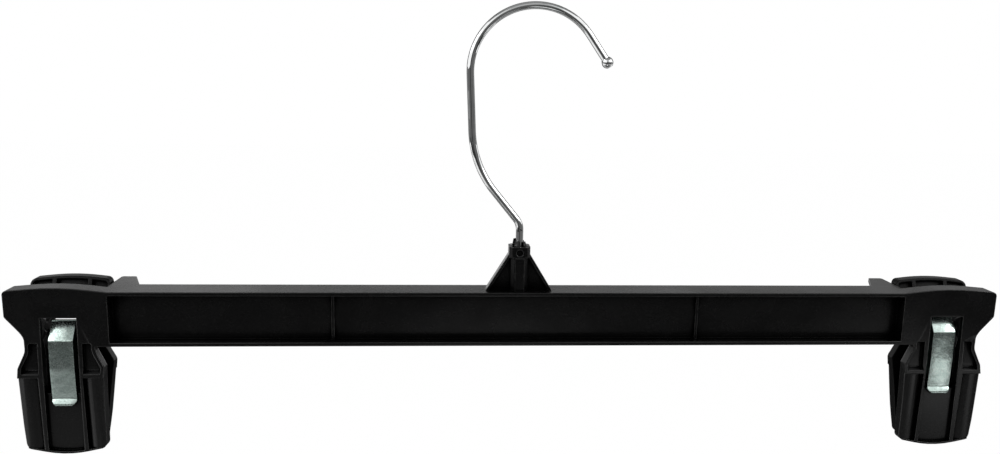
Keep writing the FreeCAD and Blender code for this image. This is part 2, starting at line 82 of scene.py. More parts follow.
Colour = tuple[float, float, float, float]
Pair = tuple[float, float]
Triple = tuple[float, float, float]


class Side(Enum):
    """Which end of the bar a clip is on."""

    LEFT = "left"
    RIGHT = "right"

    @property
    def jaw(self) -> str:
        """Name of the body of this end's rear jaw."""
        return self.value + "_jaw"

    @property
    def outward(self) -> int:
        """Sign of the way along X to this end of the bar."""
        return -1 if self is Side.LEFT else 1

    @property
    def pivot(self) -> Vector:
        """Where this end's rear jaw turns: the clip's middle, at the fulcrum's height."""
        return joint_place(self.value + "_pinch")


class Slot(Enum):
    """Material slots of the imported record."""

    MOULDING = "black_moulding"
    SPRING = "spring_steel"
    WIRE = "bright_wire"


def joint_place(name: str) -> Vector:
    """Where a joint of the frame sits.

    Args:
        name: the joint's name.

    Returns:
        Its place in the row frame.
    """
    return next(Vector(joint["pos_m"]) for joint in frame["joints"] if joint["name"] == name)


def grey(level: float) -> Colour:
    """An opaque neutral colour."""
    return (level, level, level, 1.0)


# Node trees


class Signal:
    """A socket's output that takes part in Python arithmetic."""

    def __init__(self, graph: "Graph", socket: bpy.types.NodeSocket) -> None:
        """Wraps one output socket of a graph."""
        self.graph = graph
        self.socket = socket

    def maths(self, operation: str, *values: Any) -> "Signal":
        """Adds a Math node.

        Args:
            operation: the node's operation.
            values: its inputs in order, as numbers or signals.

        Returns:
            The node's value.
        """
        inputs = dict(enumerate(values))
        return self.graph.node("ShaderNodeMath", {"operation": operation}, inputs)

    def __add__(self, other: Any) -> "Signal":
        """Sum."""
        return self.maths("ADD", self, other)

    __radd__ = __add__

    def __sub__(self, other: Any) -> "Signal":
        """Difference."""
        return self.maths("SUBTRACT", self, other)

    def __rsub__(self, other: Any) -> "Signal":
        """Difference from a number."""
        return self.maths("SUBTRACT", other, self)

    def __mul__(self, other: Any) -> "Signal":
        """Product."""
        return self.maths("MULTIPLY", self, other)

    __rmul__ = __mul__

    def at_least(self, other: Any) -> "Signal":
        """The larger of two values."""
        return self.maths("MAXIMUM", self, other)

    def between(self, low: float, high: float) -> "Signal":
        """A smooth step from 0 at low to 1 at high."""
        inputs = {"Value": self, "From Min": low, "From Max": high}
        return self.graph.node("ShaderNodeMapRange", {"interpolation_type": "SMOOTHSTEP"}, inputs)


class Graph:
    """A node tree with one method that adds a node."""

    def __init__(self, tree: bpy.types.NodeTree) -> None:
        """Empties the tree.

        Args:
            tree: the tree to build in.
        """
        self.tree = tree
        self.tree.nodes.clear()

    def node(self, kind: str, settings: dict[str, Any] | None = None,
             inputs: dict[Any, Any] | None = None, output: Any = 0) -> Signal:
        """Adds a node: its settings first, then its sockets.

        Args:
            kind: the node's type.
            settings: properties to set.
            inputs: values or signals by socket name or number.
            output: name or number of the output to return.

        Returns:
            The chosen output, or for a node with no outputs the input of that name or number.
        """
        made = self.tree.nodes.new(kind)
        for name, value in (settings or {}).items():
            setattr(made, name, value)
        for key, value in (inputs or {}).items():
            if isinstance(value, Signal):
                self.tree.links.new(value.socket, made.inputs[key])
            else:
                made.inputs[key].default_value = value
        sockets = made.outputs if len(made.outputs) else made.inputs
        return Signal(self, sockets[output])

    def points(self, stretch: Triple = (1.0, 1.0, 1.0)) -> Signal:
        """Object coordinates, stretched along the axes.

        Args:
            stretch: factor on each axis; a small one draws a pattern out along that axis.

        Returns:
            The coordinates.
        """
        place = self.node("ShaderNodeTexCoord", output="Object")
        return self.node("ShaderNodeMapping", {"vector_type": "TEXTURE"}, {
            "Vector": place, "Scale": tuple(1.0 / value for value in stretch)})

    def noise(self, size: float, detail: float = 2.0, rough: float = 0.5, twist: float = 0.0,
              stretch: Triple = (1.0, 1.0, 1.0)) -> Signal:
        """Noise whose blobs are about one size across.

        Args:
            size: width of a blob in metres.
            detail: octaves.
            rough: weight of the finer octaves.
            twist: distortion.
            stretch: factor on each axis.

        Returns:
            A value of about 0.3 to 0.7.
        """
        return self.node("ShaderNodeTexNoise", None, {
            "Vector": self.points(stretch), "Scale": 1.0 / size, "Detail": detail,
            "Roughness": rough, "Distortion": twist}, "Fac")

    def blend(self, share: Any, first: Any, second: Any) -> Signal:
        """Mixes two colours.

        Args:
            share: 0 for the first and 1 for the second.
            first: a colour.
            second: a colour.

        Returns:
            The mixed colour.
        """
        return self.node("ShaderNodeMix", {"data_type": "RGBA"}, {0: share, 6: first, 7: second}, 2)

    def bump(self, height: Signal, depth: float, strength: float, under: Signal | None = None) -> Signal:
        """Turns a height into a bent normal.

        Args:
            height: 0 to 1.
            depth: metres at a height of 1.
            strength: share of the effect.
            under: a normal to add to.

        Returns:
            The normal.
        """
        inputs = {"Height": height, "Distance": depth, "Strength": strength}
        if under is not None:
            inputs["Normal"] = under
        return self.node("ShaderNodeBump", None, inputs)


def new_material(name: str) -> tuple[bpy.types.Material, Graph]:
    """An empty node material.

    Args:
        name: its name.

    Returns:
        The material and the graph of its nodes.
    """
    material = bpy.data.materials.new(name)
    material.use_nodes = True
    return material, Graph(material.node_tree)


def surface(graph: Graph, **inputs: Any) -> None:
    """Ends a material in a Principled surface.

    Args:
        graph: the material's nodes.
        inputs: values or signals by socket name, with an underscore for each space.
    """
    named = {key.replace("_", " "): value for key, value in inputs.items()}
    shader = graph.node("ShaderNodeBsdfPrincipled", None, named)
    graph.node("ShaderNodeOutputMaterial", None, {"Surface": shader})


# Finishes


@dataclass(frozen=True)
class MouldedBlack:
    """Black moulded plastic with a satin grain, flow streaks, light scuffs, dust, rounded edges painted
    lighter (partly as rubbing wear, partly as painted highlight), and painted shade in its recesses.

    A cut is where a pattern starts to show and where it shows in full.
    """

    name: str = "moulded_black"
    deep: Colour = (0.0009, 0.0009, 0.001, 1.0)
    worn: Colour = (0.004, 0.004, 0.0039, 1.0)
    dusty: Colour = (0.0085, 0.0085, 0.0082, 1.0)
    # Lighter paint for the rounded edges: partly rubbing wear, partly painted highlight.
    rubbed_and_highlit: Colour = (0.1, 0.1, 0.096, 1.0)
    roughness: float = 0.26
    gloss: float = 0.45
    edge: float = 0.6 * MM
    edge_cut: Pair = (0.12, 0.28)
    edge_gaps: Pair = (0.3, 0.6)
    edge_polish: float = 0.06
    grain: float = 0.35 * MM
    grain_share: float = 0.7
    grain_depth: float = 0.016 * MM
    grain_strength: float = 0.5
    flow: float = 3.5 * MM
    flow_stretch: Triple = (0.12, 1.0, 1.0)
    flow_cut: Pair = (0.45, 0.75)
    flow_wear: float = 0.35
    patch: float = 14 * MM
    patch_cut: Pair = (0.3, 0.7)
    patchiness: float = 0.16
    scuff: float = 1.1 * MM
    scuff_stretch: Triple = (0.35, 1.0, 1.0)
    scuff_cut: Pair = (0.62, 0.74)
    scuff_wear: float = 0.55
    scuff_rough: float = 0.1
    mottle: float = 0.9 * MM
    dust_cut: Pair = (0.5, 0.68)
    dust_share: float = 0.6
    # Painted shade: how far ambient occlusion looks for surfaces that darken a recess.
    painted_shade_distance: float = 7 * MM
    painted_shade_cut: Pair = (0.45, 0.8)
    samples: int = 8

    def material(self) -> bpy.types.Material:
        """Builds the material, which turns to a matt deep black as painted shade where other surfaces close
        round it.

        Returns:
            The material.
        """
        made, graph = new_material(self.name)
        patches = graph.noise(self.patch, detail=3.0)
        streaks = graph.noise(self.flow, detail=3.0, rough=0.6, twist=0.4, stretch=self.flow_stretch)
        scuffs = graph.noise(self.scuff, detail=4.0, rough=0.7, twist=1.5, stretch=self.scuff_stretch)
        scuffs = scuffs.between(*self.scuff_cut)
        grain = graph.noise(self.grain, rough=0.6)
        dust = graph.noise(self.mottle, detail=3.0, rough=0.7).between(*self.dust_cut)
        rounded = graph.node("ShaderNodeBevel", {"samples": self.samples}, {"Radius": self.edge})
        flat = graph.node("ShaderNodeNewGeometry", output="Normal")
        dot = {"operation": "DOT_PRODUCT"}
        facing = graph.node("ShaderNodeVectorMath", dot, {0: rounded, 1: flat}, "Value")
        # Painted highlight: the edges that the rounding finds get the lighter colour, in broken runs that
        # also stand for rubbing wear.
        edges = (1.0 - facing).between(*self.edge_cut) * streaks.between(*self.edge_gaps)
        wear = scuffs * self.scuff_wear + streaks.between(*self.flow_cut) * self.flow_wear
        faces = graph.blend(wear * patches.between(*self.patch_cut), self.deep, self.worn)
        faces = graph.blend(dust * self.dust_share, faces, self.dusty)
        rough = (patches - NOISE_MIDDLE) * self.patchiness + scuffs * self.scuff_rough + self.roughness
        relief = grain * self.grain_share + streaks * (1.0 - self.grain_share)
        satin = graph.node("ShaderNodeBsdfPrincipled", None, {
            "Base Color": graph.blend(edges, faces, self.rubbed_and_highlit),
            "Roughness": rough - edges * self.edge_polish,
            "Specular IOR Level": self.gloss,
            "Normal": graph.bump(relief, self.grain_depth, self.grain_strength, rounded)})
        # Painted shade: where ambient occlusion finds other surfaces near, the satin gives way to this matt
        # deep black.
        matt = graph.node("ShaderNodeBsdfDiffuse", None, {"Color": self.deep})
        around = {"Distance": self.painted_shade_distance}
        open_air = graph.node("ShaderNodeAmbientOcclusion", {"samples": self.samples}, around, "AO")
        share = open_air.between(*self.painted_shade_cut)
        mixed = graph.node("ShaderNodeMixShader", None, {0: share, 1: matt, 2: satin})
        graph.node("ShaderNodeOutputMaterial", None, {"Surface": mixed})
        return made


# Painted shade: the rear jaws get a darker copy of the moulding (duller, rougher, with almost no painted
# edge highlight) for the shade that they sit in.
REAR_BLACK_WITH_PAINTED_SHADE = MouldedBlack("rear_black_with_painted_shade", rubbed_and_highlit=grey(0.008), roughness=0.34, gloss=0.2)


@dataclass(frozen=True)
class ZincStrip:
    """Zinc-plated spring strip: a grainy sheen, a little uneven at its bends, painted shade inside the loop,
    and dark sheared sides that are partly bare cut steel and partly painted shade.
    """

    name: str = "zinc_strip"
    bright: Colour = (0.8, 0.93, 0.88, 1.0)
    dull: Colour = (0.55, 0.68, 0.63, 1.0)
    # Dark colour for the pits, and painted shade inside the loop and at the sheared sides.
    bare_and_painted_shade: Colour = (0.03, 0.045, 0.039, 1.0)
    roughness: float = 0.14
    spangle: float = 0.5 * MM
    spangle_cut: Pair = (0.32, 0.66)
    spangle_share: float = 0.6
    spangle_rough: float = 0.16
    wave: float = 3.2 * MM
    wave_cut: Pair = (0.35, 0.65)
    wave_depth: float = 0.3 * MM
    wave_strength: float = 0.3
    pit: float = 0.28 * MM
    pit_cut: Pair = (0.6, 0.7)
    pit_share: float = 0.7
    pit_rough: float = 0.2
    drawn_stretch: Triple = (1.0, 1.0, 0.08)
    grain_depth: float = 0.02 * MM
    grain_strength: float = 0.7

    def material(self) -> bpy.types.Material:
        """Builds the material.

        Returns:
            The material.
        """
        made, graph = new_material(self.name)
        spangle = graph.noise(self.spangle, detail=3.0, rough=0.6, twist=0.6)
        waves = graph.noise(self.wave)
        drawn = graph.noise(self.pit, stretch=self.drawn_stretch)
        pits = graph.noise(self.pit).between(*self.pit_cut)
        rest = 1.0 - self.spangle_share
        tone = spangle.between(*self.spangle_cut) * self.spangle_share + waves.between(*self.wave_cut) * rest
        plated = graph.blend(pits * self.pit_share, graph.blend(tone, self.dull, self.bright), self.bare_and_painted_shade)
        # Painted shade: the attribute darkens the inside of the loop, and the sheared sides partly as bare
        # cut steel.
        bare_and_painted_shade = graph.node("ShaderNodeAttribute", {"attribute_name": BARE_AND_PAINTED_SHADE}, output="Fac")
        rough = self.roughness + spangle * self.spangle_rough + pits * self.pit_rough
        uneven = graph.bump(waves, self.wave_depth, self.wave_strength)
        relief = spangle * self.spangle_share + drawn * rest
        surface(graph, Base_Color=graph.blend(bare_and_painted_shade, plated, self.bare_and_painted_shade), Metallic=1.0, Roughness=rough,
                Normal=graph.bump(relief, self.grain_depth, self.grain_strength, uneven))
        return made


@dataclass(frozen=True)
class BrightWire:
    """Bright plated wire with faint ripples and a little haze."""

    name: str = "bright_wire"
    bright: Colour = (0.9, 0.91, 0.91, 1.0)
    hazed: Colour = (0.66, 0.69, 0.69, 1.0)
    roughness: float = 0.035
    haze: float = 5 * MM
    haze_cut: Pair = (0.45, 0.75)
    haze_rough: float = 0.06
    ripple: float = 1.4 * MM
    ripple_depth: float = 0.02 * MM
    ripple_strength: float = 0.15

    def material(self) -> bpy.types.Material:
        """Builds the material.

        Returns:
            The material.
        """
        made, graph = new_material(self.name)
        share = graph.noise(self.haze, detail=4.0, rough=0.6).between(*self.haze_cut)
        ripple = graph.noise(self.ripple)
        surface(graph, Base_Color=graph.blend(share, self.bright, self.hazed), Metallic=1.0,
                Roughness=self.roughness + share * self.haze_rough,
                Normal=graph.bump(ripple, self.ripple_depth, self.ripple_strength))
        return made


@dataclass(frozen=True)
class PaleFloor:
    """A pale floor that the camera and reflections see as nearly white, with its shadow kept."""

    name: str = "pale_floor"
    paint: Colour = (0.86, 0.86, 0.86, 1.0)
    glow: float = 0.93
    white: float = 1.05

    def material(self) -> bpy.types.Material:
        """Builds the material.

        Returns:
            The material.
        """
        made, graph = new_material(self.name)
        matt = graph.node("ShaderNodeBsdfDiffuse", None, {"Color": self.paint})
        white = graph.node("ShaderNodeEmission", None, {"Color": grey(1.0), "Strength": self.white})
        share = seen_directly(graph) * self.glow
        mixed = graph.node("ShaderNodeMixShader", None, {0: share, 1: matt, 2: white})
        graph.node("ShaderNodeOutputMaterial", None, {"Surface": mixed})
        return made


@dataclass(frozen=True)
class CardPaint:
    """An even tone for a card that only reflections show."""

    name: str
    level: float

    def material(self) -> bpy.types.Material:
        """Builds the material.

        Returns:
            The material.
        """
        made, graph = new_material(self.name)
        tone = graph.node("ShaderNodeEmission", None, {"Color": grey(self.level), "Strength": 1.0})
        graph.node("ShaderNodeOutputMaterial", None, {"Surface": tone})
        return made


def seen_directly(graph: Graph) -> Signal:
    """Tells the rays that show the background itself from those that only light the hanger.

    Args:
        graph: the nodes to add to.

    Returns:
        1 for rays from the camera, from a mirror-like surface or through glass, and otherwise 0.
    """
    found = graph.node("ShaderNodeLightPath", output="Is Camera Ray")
    for name in ("Is Glossy Ray", "Is Transmission Ray"):
        found = found.at_least(graph.node("ShaderNodeLightPath", output=name))
    return found


# Meshes


def link(name: str, mesh: bpy.types.Mesh, materials: Iterable[bpy.types.Material]) -> bpy.types.Object:
    """Puts a mesh in the scene as a piece.

    Args:
        name: the piece's name.
        mesh: its mesh, in place.
        materials: its materials, in slot order.

    Returns:
        The piece's object, at the origin.
    """
    mesh.name = name
    mesh.materials.clear()
    for material in materials:
        mesh.materials.append(material)
    piece = bpy.data.objects.new(name, mesh)
    bpy.context.scene.collection.objects.link(piece)
    return piece


def settle(piece: bpy.types.Object) -> None:
    """Makes what a piece's modifiers give its plain mesh, and removes them.

    Args:
        piece: the piece.
    """
    depsgraph = bpy.context.evaluated_depsgraph_get()
    mesh = bpy.data.meshes.new_from_object(piece.evaluated_get(depsgraph), preserve_all_data_layers=True,
                                           depsgraph=depsgraph)
    piece.modifiers.clear()
    piece.data = mesh


def rounded_run(points: Sequence[Triple], step: float) -> list[Pair]:
    """An open path whose corners are arcs.

    Args:
        points: (a, b, radius) for each corner.
        step: angle between points on an arc.

    Returns:
        The path's (a, b) points in order.
    """
    spots = [Vector((a, b)) for a, b, _ in points]
    path = [tuple(spots[0])]
    for number in range(1, len(points) - 1):
        here, radius = spots[number], points[number][2]
        before = (spots[number - 1] - here).normalized()
        after = (spots[number + 1] - here).normalized()
        half = before.angle(after) / 2
        centre = here + (before + after).normalized() * (radius / math.sin(half))
        start = here + before * (radius / math.tan(half)) - centre
        turn = (math.pi - 2 * half) * (1 if before.cross(after) < 0 else -1)
        count = max(2, math.ceil(abs(turn) / step))
        for stop in range(count + 1):
            path.append(tuple(centre + Matrix.Rotation(turn * stop / count, 2) @ start))
    path.append(tuple(spots[-1]))
    return path


def ramp(value: float, start: float, end: float) -> float:
    """A smooth step from 0 at the start to 1 at the end, whichever is larger."""
    share = min(max((value - start) / (end - start), 0.0), 1.0)
    return share * share * (3 - 2 * share)


@dataclass
class MouldedPiece:
    """A moulding drawn from its solid, smooth over its curves."""

    node: str
    body: str
    weld: float = 0.002 * MM
    crease: float = math.radians(10.5)
    flat_weight: int = 100

    def reshape(self, shape: bmesh.types.BMesh) -> None:
        """Changes the welded shape, where a moulding needs it."""

    def build(self, material: bpy.types.Material) -> bpy.types.Object:
        """Makes the piece.

        Args:
            material: its finish.

        Returns:
            The piece.
        """
        shape = bmesh.new()
        shape.from_mesh(frame["nodes"][self.node].data)
        bmesh.ops.remove_doubles(shape, verts=shape.verts, dist=self.weld)
        self.reshape(shape)
        for face in shape.faces:
            face.smooth = True
            face.material_index = 0
        mesh = bpy.data.meshes.new(self.node)
        shape.to_mesh(mesh)
        shape.free()
        mesh.set_sharp_from_angle(angle=self.crease)
        piece = link("moulded_" + self.node, mesh, [material])
        normals = piece.modifiers.new("flat_faces_stay_flat", "WEIGHTED_NORMAL")
        normals.keep_sharp = True
        normals.weight = self.flat_weight
        settle(piece)
        return piece

    def dress(self, material: bpy.types.Material) -> bpy.types.Object:
        """Builds the piece and puts it on its body.

        Args:
            material: its finish.

        Returns:
            The piece.
        """
        piece = self.build(material)
        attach(piece, self.body)
        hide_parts(self.node)
        return piece


@dataclass
class HangerBar(MouldedPiece):
    """The bar with its front jaws and its boss, whose petals are crushed unevenly on the wire.

    At each clip a drop is measured down from the fulcrum, and a reach outwards from the clip's middle.
    """

    node: str = "hanger_bar"
    body: str = "bar"
    petal_height_shares: tuple[float, ...] = (0.7, 1.0, 0.85, 0.6)
    crown_height: float = 2.4 * MM
    crown_turn: float = math.radians(20)
    ear_fill: float = 0.7 * MM
    ear_reach: float = 18.3 * MM
    ear_rim: float = 1.0 * MM
    ear_side: Pair = (8 * MM, 12 * MM)
    ear_foot_starts: Pair = (-9 * MM, -5 * MM)
    ear_foot_ends: Pair = (4 * MM, 0.0)
    jaw_sets: Pair = (0.7 * MM, 1.0 * MM)
    jaw_starts: Pair = (12 * MM, 18 * MM)
    jaw_fades: Pair = (34 * MM, 46 * MM)
    jaw_faded_share: float = 0.4
    window_half: float = 6.2 * MM
    window_rise: float = 5.0 * MM
    left_window_low: float = 0.45 * MM

    def reshape(self, shape: bmesh.types.BMesh) -> None:
        """Shapes what the moulding leaves a little uneven.

        Args:
            shape: the bar's welded shape.
        """
        self.crush_petals(shape)
        for side, jaw_set in zip(Side, self.jaw_sets):
            self.set_jaw(shape, side, jaw_set)
        self.lower_left_window(shape)

    def crush_petals(self, shape: bmesh.types.BMesh) -> None:
        """Gives each petal of the crown its own height.

        Args:
            shape: the bar's welded shape.
        """
        stem = joint_place("hook_swivel")
        foot = max(vert.co.z for vert in shape.verts) - self.crown_height
        shares = self.petal_height_shares
        for vert in shape.verts:
            rise = vert.co.z - foot
            if rise > self.weld:
                angle = math.atan2(vert.co.y - stem.y, vert.co.x - stem.x) - self.crown_turn
                number = math.floor(angle / (2 * math.pi) * len(shares))
                vert.co.z = foot + rise * shares[number % len(shares)]

    def set_jaw(self, shape: bmesh.types.BMesh, side: Side, jaw_set: float) -> None:
        """Fills an ear's foot out and sets the jaw below it a little outwards.

        Args:
            shape: the bar's welded shape.
            side: which end of the bar.
            jaw_set: how far outwards the jaw goes.
        """
        pivot = side.pivot
        for vert in shape.verts:
            reach = (vert.co.x - pivot.x) * side.outward
            drop = pivot.z - vert.co.z
            if reach < -self.ear_reach:
                continue
            fading = 1 - self.jaw_faded_share * ramp(drop, *self.jaw_fades)
            lower = ramp(drop, *self.jaw_starts) * fading * jaw_set
            beside = ramp(reach, *self.ear_side) * ramp(reach, self.ear_reach, self.ear_reach - self.ear_rim)
            foot = ramp(drop, *self.ear_foot_starts) * ramp(drop, *self.ear_foot_ends)
            vert.co.x += side.outward * max(lower, beside * foot * self.ear_fill)

    def lower_left_window(self, shape: bmesh.types.BMesh) -> None:
        """Brings the top edge of the left window nearer its spring.

        Args:
            shape: the bar's welded shape.
        """
        pivot = Side.LEFT.pivot
        for vert in shape.verts:
            across = abs(vert.co.x - pivot.x)
            from_edge = abs(vert.co.z - pivot.z - self.window_rise)
            if across < self.window_half + self.weld and from_edge < self.weld:
                vert.co.z -= self.left_window_low


@dataclass
class RearJaw(MouldedPiece):
    """A rear jaw, a little fuller at its sides below the shoulder."""

    flare: float = 0.5 * MM
    flare_starts: Pair = (10 * MM, 16 * MM)
    flare_fades: Pair = (32 * MM, 44 * MM)
    flare_faded_share: float = 0.7
    flare_side: Pair = (6 * MM, 10 * MM)

    def reshape(self, shape: bmesh.types.BMesh) -> None:
        """Draws the sides outwards below the shoulder.

        Args:
            shape: the jaw's welded shape.
        """
        pivot = Side(self.body.removesuffix("_jaw")).pivot
        for vert in shape.verts:
            drop = pivot.z - vert.co.z
            reach = vert.co.x - pivot.x
            fading = 1 - self.flare_faded_share * ramp(drop, *self.flare_fades)
            share = ramp(drop, *self.flare_starts) * fading
            vert.co.x += math.copysign(self.flare * share * ramp(abs(reach), *self.flare_side), reach)


@dataclass
class ClipSpring:
    """A strip bent to a loop; its arms come out through the jaws' windows and press on both jaws."""

    side: Side
    strip: float = 0.7 * MM
    width: float = 8.4 * MM
    edge: float = 0.14 * MM
    edge_steps: int = 3
    plated_depth: float = 0.1 * MM
    knee_out: float = 4.95 * MM
    knee_drop: float = 6.6 * MM
    knee_round: float = 1.1 * MM
    fold_out: float = 4.55 * MM
    fold_drop: float = 27.9 * MM
    fold_round: float = 1.4 * MM
    bow_out: float = 0.6 * MM
    bow_round: float = 150 * MM
    lip_length: float = 2.7 * MM
    lip_flare: float = math.radians(28)
    lip_corner: float = 1.3 * MM
    arm_lean: float = math.radians(35)
    arch_round: float = 1.4 * MM
    step: float = math.radians(6)
    run_step: float = 1.0 * MM
    flex_half: float = 1.6 * MM

    @property
    def node(self) -> str:
        """The solid that this piece stands for."""
        return self.side.value + "_clip_spring"

    def path(self) -> list[Vector]:
        """Draws the strip's middle line.

        Returns:
            Its points, from the front lip over the loop to the rear lip.
        """
        lip_out = self.fold_out + self.lip_length * math.sin(self.lip_flare)
        lip_drop = self.fold_drop + self.lip_length * math.cos(self.lip_flare)
        apex = -self.knee_drop + self.knee_out / math.tan(self.arm_lean)
        loop_top = apex - self.arch_round / math.sin(self.arm_lean) + self.arch_round + self.strip / 2
        bow_out = (self.fold_out + self.knee_out) / 2 + self.bow_out
        bow_drop = (self.fold_drop + self.knee_drop) / 2
        half = [
            (-lip_out, -lip_drop, 0.0),
            (-self.fold_out, -self.fold_drop, self.fold_round),
            (-bow_out, -bow_drop, self.bow_round),
            (-self.knee_out, -self.knee_drop, self.knee_round),
        ]
        corners = half + [(0.0, apex, self.arch_round)] + [(-y, z, r) for y, z, r in half[::-1]]
        raise_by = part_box(self.node)[1].z - loop_top
        run = [Vector((self.side.pivot.x, y, z + raise_by)) for y, z in rounded_run(corners, self.step)]
        path = run[:1]
        for here, there in zip(run, run[1:]):
            pieces = max(1, math.ceil((there - here).length / self.run_step))
            path += [here.lerp(there, number / pieces) for number in range(1, pieces + 1)]
        return path

    def section(self, half_width: float) -> list[Pair]:
        """Draws the strip's cross-section with rounded edges.

        Args:
            half_width: half the strip's width there.

        Returns:
            The section's (across, inward) points in order.
        """
        inner_x, inner_y = half_width - self.edge, self.strip / 2 - self.edge
        points = []
        for quarter, (sign_x, sign_y) in enumerate(((1, 1), (-1, 1), (-1, -1), (1, -1))):
            for number in range(self.edge_steps + 1):
                angle = (quarter + number / self.edge_steps) * math.pi / 2
                points.append((sign_x * inner_x + self.edge * math.cos(angle),
                               sign_y * inner_y + self.edge * math.sin(angle)))
        return points

    def build(self, material: bpy.types.Material) -> bpy.types.Object:
        """Makes the strip.

        Args:
            material: its finish.

        Returns:
            The piece.
        """
        path = self.path()
        lengths = [0.0]
        for here, there in zip(path, path[1:]):
            lengths.append(lengths[-1] + (there - here).length)
        shape = bmesh.new()
        bare_and_painted_shade = shape.verts.layers.float.new(BARE_AND_PAINTED_SHADE)
        rings = []
        for number, place in enumerate(path):
            along = path[min(number + 1, len(path) - 1)] - path[max(number - 1, 0)]
            inward = Vector((0.0, along.z, -along.y)).normalized()
            from_end = min(lengths[number], lengths[-1] - lengths[number])
            half_width = self.width / 2 - max(0.0, self.lip_corner - from_end)
            rings.append([shape.verts.new(place + Vector((u, 0.0, 0.0)) + inward * v)
                          for u, v in self.section(half_width)])
        count = len(rings[0])
        for first, second in zip(rings, rings[1:]):
            for number in range(count):
                following = (number + 1) % count
                shape.faces.new((first[number], first[following], second[following], second[number]))
        shape.faces.new(rings[0][::-1])
        shape.faces.new(rings[-1])
        # Painted shade: every point off the outer face (the inside of the loop and the sheared sides) is
        # marked for the dark colour; only the outer face stays plated.
        for ring in rings:
            for vert, (_, inward) in zip(ring, self.section(self.width / 2)):
                vert[bare_and_painted_shade] = 1.0 if inward > self.plated_depth - self.strip / 2 else 0.0
        bmesh.ops.recalc_face_normals(shape, faces=shape.faces)
        for face in shape.faces:
            face.smooth = len(face.verts) == 4
        mesh = bpy.data.meshes.new(self.node)
        shape.to_mesh(mesh)
        shape.free()
        return link("bent_" + self.node, mesh, [material])

    def dress(self, material: bpy.types.Material) -> bpy.types.Object:
        """Builds the strip, bakes its place into its mesh and hides the solid that it stands for.

        Args:
            material: its finish.

        Returns:
            The piece.
        """
        piece = self.build(material)
        pivot = self.side.pivot
        reach = Vector((0.0, self.flex_half, 0.0))
        pivot - reach
        pivot + reach
        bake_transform(piece)
        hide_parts(self.node)
        return piece


